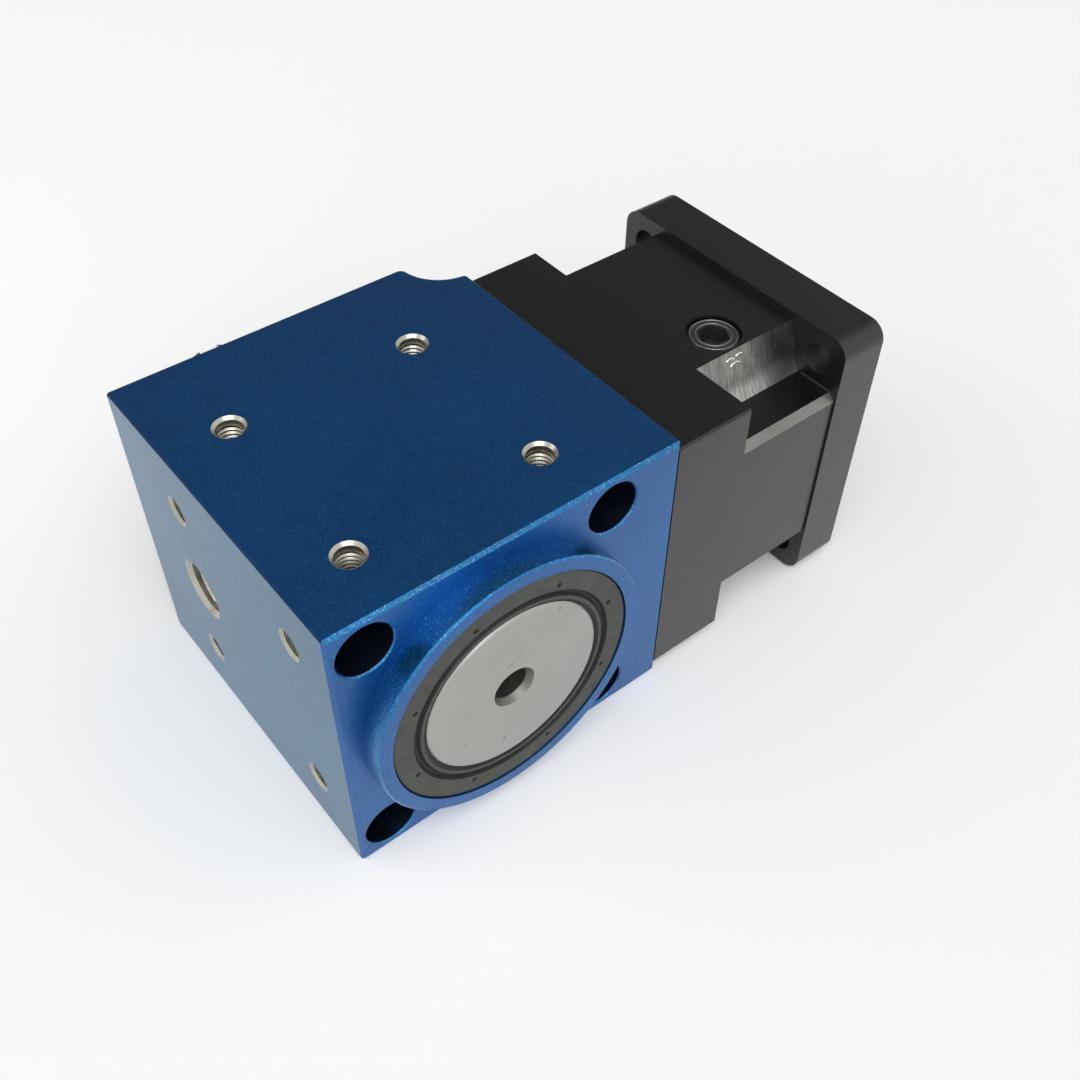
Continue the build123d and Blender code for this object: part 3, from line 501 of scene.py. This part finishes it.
for node in nodes:
    dress(node, [SLOT_MATERIALS[slot_of[node]]])
BLUE_FACES = [mat_blue, mat_bare, mat_blue_painted_highlight_edge, mat_hole_painted_shade, mat_blue_left_painted_shade, mat_blue_ring, mat_blue_painted_shade_edge]
dress("gear_housing", BLUE_FACES, housing_face)
dress("motor_adapter", [mat_black, mat_milled, mat_milled_painted_shade, mat_bevel, mat_black_hole], adapter_face)
dress("front_seal", [mat_rubber, mat_seal_painted_shade], seal_face)
dress("access_plug", [mat_black_hole, mat_rim], plug_face)
dress("output_shaft", [mat_steel, mat_disc, mat_bore_painted_shade], shaft_face)


# ------------------------------------------------------------------ added pieces, all on the housing
def add_piece(name, points, faces, material, smooth=False):
    """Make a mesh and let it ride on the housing."""
    mesh = bpy.data.meshes.new(name)
    mesh.from_pydata([tuple(p) for p in points], [], faces)
    mesh.update()
    for polygon in mesh.polygons:
        polygon.use_smooth = smooth
    mesh.materials.append(material)
    piece = bpy.data.objects.new(name, mesh)
    bpy.context.scene.collection.objects.link(piece)
    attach(piece, "housing")


THREAD_STEPS = 28
THREAD_SINK = 0.00004    # the ridge's foot lies this deep in the wall


def thread(name, mouth, inward, wall_r, crest_r, pitch, start, length):
    """Helical ridge on the wall of a tapped hole."""
    inward = inward.normalized()
    side = inward.orthogonal().normalized()
    other = inward.cross(side)
    count = int(length / pitch * THREAD_STEPS)
    foot_r = wall_r + THREAD_SINK
    half, half_crest = pitch * 0.46, pitch * 0.07
    section = [(foot_r, -half), (crest_r, -half_crest), (crest_r, half_crest), (foot_r, half)]
    points, faces = [], []
    for i in range(count + 1):
        angle = 2 * math.pi * i / THREAD_STEPS
        along = start + pitch * i / THREAD_STEPS
        fade = min(1.0, i / THREAD_STEPS, (count - i) / THREAD_STEPS)
        for r, offset in section:
            radius = foot_r - (foot_r - r) * fade
            flat = side * math.cos(angle) * radius + other * math.sin(angle) * radius
            points.append(mouth + flat + inward * (along + offset))
    n = len(section)
    for i in range(count):
        for k in range(n):
            a, b = i * n + k, i * n + (k + 1) % n
            faces.append((a, b, b + n, a + n))
    faces.append(tuple(range(n - 1, -1, -1)))
    faces.append(tuple(range(count * n, count * n + n)))
    add_piece(name, points, faces, mat_bare)


TAP_R = mounts["top_holes"]["dims"]["hole_r_mm"] * MM
TAP_RIDGE, TAP_PITCH = 0.00036, 0.00125
TAP_START, TAP_LENGTH = 0.0020, 0.0108
for label, mouth, axis in TAPPED:
    thread(f"thread_{label}", mouth, -axis, TAP_R, TAP_R - TAP_RIDGE, TAP_PITCH, TAP_START, TAP_LENGTH)

PORT_WALL_R = 0.0076
PORT_RIDGE, PORT_PITCH = 0.0005, 0.0015
PORT_START, PORT_LENGTH = 0.0022, 0.0040
port_mouth = Vector((BLOCK_X[0], PORT_Y, 0))
port_crest = PORT_WALL_R - PORT_RIDGE
inward = Vector((1, 0, 0))
thread("thread_port", port_mouth, inward, PORT_WALL_R, port_crest, PORT_PITCH, PORT_START, PORT_LENGTH)


BEAD_SIDES = 8


def bead(name, path, radius, closed, material):
    """Thin round bead along a path of points."""
    sides, count = BEAD_SIDES, len(path)
    points, faces = [], []
    for i, centre in enumerate(path):
        ahead = path[(i + 1) % count] if closed or i + 1 < count else centre
        behind = path[i - 1] if closed or i else centre
        along = (ahead - behind).normalized()
        side = along.orthogonal() if abs(along.z) > 0.9 else along.cross(Vector((0, 0, 1)))
        side.normalize()
        other = along.cross(side)
        for k in range(sides):
            turn = 2 * math.pi * k / sides
            points.append(centre + (side * math.cos(turn) + other * math.sin(turn)) * radius)
    for i in range(count if closed else count - 1):
        for k in range(sides):
            a, b = i * sides + k, i * sides + (k + 1) % sides
            c = (i + 1) % count * sides
            faces.append((a, b, c + (k + 1) % sides, c + k))
    if not closed:
        faces.append(tuple(range(sides - 1, -1, -1)))
        faces.append(tuple(range((count - 1) * sides, count * sides)))
    add_piece(name, points, faces, material, smooth=True)


PLUG_RINGS = {"inner": 0.0050, "outer": 0.0066}
PLUG_RING_BEAD = 0.00022
RING_STEPS = 48
plug_low, plug_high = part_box("access_plug")
plug_centre = (plug_low + plug_high) / 2
for label, radius in PLUG_RINGS.items():
    turns = [2 * math.pi * i / RING_STEPS for i in range(RING_STEPS)]
    loop = [
        Vector((plug_centre.x + radius * math.cos(t), plug_centre.y + radius * math.sin(t), plug_high.z))
        for t in turns
    ]
    bead(f"plug_ring_{label}", loop, PLUG_RING_BEAD, True, mat_rim)


def on_cut(x, z):
    """Point on the cut's upper band at station x and height z."""
    share = (z - CUT_BAND_Z) / (CUT_TOP_Z - CUT_BAND_Z)
    return Vector((x, CUT_BAND_Y + share * (CUT_TOP_Y - CUT_BAND_Y), z))


# station x, height z and half width of each short thread end
THREAD_ENDS = ((0.0938, 0.0392, 0.0016), (0.0956, 0.0372, 0.0022), (0.0972, 0.0396, 0.0013))
THREAD_END_BEAD = 0.00032
THREAD_END_RISE = 0.6
ARC_STEP, ARC_POINTS = 0.35, 9
# the thread ends are beads of near-white metal; their brightness is a painted highlight
for i, (x, z, span) in enumerate(THREAD_ENDS):
    arc = [
        on_cut(x + span * math.cos(t * ARC_STEP), z + span * THREAD_END_RISE * math.sin(t * ARC_STEP))
        for t in range(ARC_POINTS)
    ]
    bead(f"thread_end_{i + 1}", arc, THREAD_END_BEAD, False, mat_bright_painted_highlight)

# ------------------------------------------------------------------ floor, light and camera
FLOOR_GAP = 0.00005
FLOOR_REACH = 2.2
floor_z = min(cad_low.z, -BLOCK_Z) - FLOOR_GAP
floor_mesh = bpy.data.meshes.new("floor")
floor_corners = [(x * FLOOR_REACH, y * FLOOR_REACH, floor_z) for x, y in ((-1, -1), (1, -1), (1, 1), (-1, 1))]
floor_mesh.from_pydata(floor_corners, [], [(0, 1, 2, 3)])
floor = bpy.data.objects.new("floor", floor_mesh)
bpy.context.scene.collection.objects.link(floor)
paper = Shader("floor_paper")
paper_tone = paper.mix(paper.noise(0.4, 2.0), (0.92, 0.92, 0.92), (0.95, 0.95, 0.95))
floor_mesh.materials.append(paper.set(color=paper_tone, roughness=0.9, specular=0.1))

# the studio is dimmer in one direction, which the top faces mirror
DIM_DIRECTION = (0.20, 0.72, 0.66)
DIM_FROM, DIM_TO = 0.30, 0.95
DIM_STRENGTH = 0.15
world = bpy.data.worlds.new("studio")
bpy.context.scene.world = world
world.use_nodes = True
sky = world.node_tree.nodes
sky_links = world.node_tree.links
background = sky["Background"]
sky_place = sky.new("ShaderNodeTexCoord")
sky_toward = sky.new("ShaderNodeVectorMath")
sky_toward.operation = "DOT_PRODUCT"
sky_toward.inputs[1].default_value = DIM_DIRECTION
sky_ramp = sky.new("ShaderNodeMapRange")
sky_ramp.interpolation_type = "SMOOTHSTEP"
sky_links.new(sky_place.outputs["Generated"], sky_toward.inputs[0])
sky_links.new(sky_toward.outputs["Value"], sky_ramp.inputs["Value"])
sky_ramp.inputs["From Min"].default_value = DIM_FROM
sky_ramp.inputs["From Max"].default_value = DIM_TO
sky_ramp.inputs["To Min"].default_value = 1.0
sky_ramp.inputs["To Max"].default_value = DIM_STRENGTH
sky_links.new(sky_ramp.outputs["Result"], background.inputs["Strength"])
background.inputs["Color"].default_value = (1.0, 1.0, 1.0, 1.0)


def hang(data, place, direction):
    """Put a light at a place, shining against a direction."""
    lamp = bpy.data.objects.new(data.name, data)
    bpy.context.scene.collection.objects.link(lamp)
    lamp.location = place
    lamp.rotation_mode = "QUATERNION"
    lamp.rotation_quaternion = Vector(direction).to_track_quat("Z", "Y")


def sun(name, direction, strength, width):
    """A broad sun; width is in degrees."""
    data = bpy.data.lights.new(name, "SUN")
    data.energy = strength
    data.angle = math.radians(width)
    hang(data, (0, 0, 0), direction)


def softbox(name, place, target, size, power):
    """A rectangular soft light that faces a target."""
    data = bpy.data.lights.new(name, "AREA")
    data.shape = "RECTANGLE"
    data.size, data.size_y = size
    data.energy = power
    hang(data, place, Vector(place) - Vector(target))


sun("key", (-0.30, -0.50, 0.80), 1.2, 50)
softbox("left_bounce", (-0.26, 0.26, 0.30), (-0.17, 0.17, -0.045), (0.2, 0.2), 0.2)

CAMERA_PLACE = (-0.10962, -0.15018, 0.24234)
CAMERA_AZIMUTH, CAMERA_ELEVATION, CAMERA_ROLL = (math.radians(a) for a in (-39.91, 46.87, 1.40))
CAMERA_LENS = 40.578
CAMERA_SHIFT = (-0.0100, 0.0095)
camera_data = bpy.data.cameras.new("camera")
camera_data.sensor_width = 36.0
camera_data.lens = CAMERA_LENS
camera_data.shift_x, camera_data.shift_y = CAMERA_SHIFT
camera_data.clip_start = 0.01
camera = bpy.data.objects.new("camera", camera_data)
bpy.context.scene.collection.objects.link(camera)
back = Vector((
    math.sin(CAMERA_AZIMUTH) * math.cos(CAMERA_ELEVATION),
    -math.cos(CAMERA_AZIMUTH) * math.cos(CAMERA_ELEVATION),
    math.sin(CAMERA_ELEVATION),
))
level = back.to_track_quat("Z", "Y").to_matrix().to_4x4()
camera.matrix_world = Matrix.Translation(CAMERA_PLACE) @ level @ Matrix.Rotation(CAMERA_ROLL, 4, "Z")
bpy.context.scene.camera = camera
bpy.context.scene.view_settings.view_transform = "Standard"
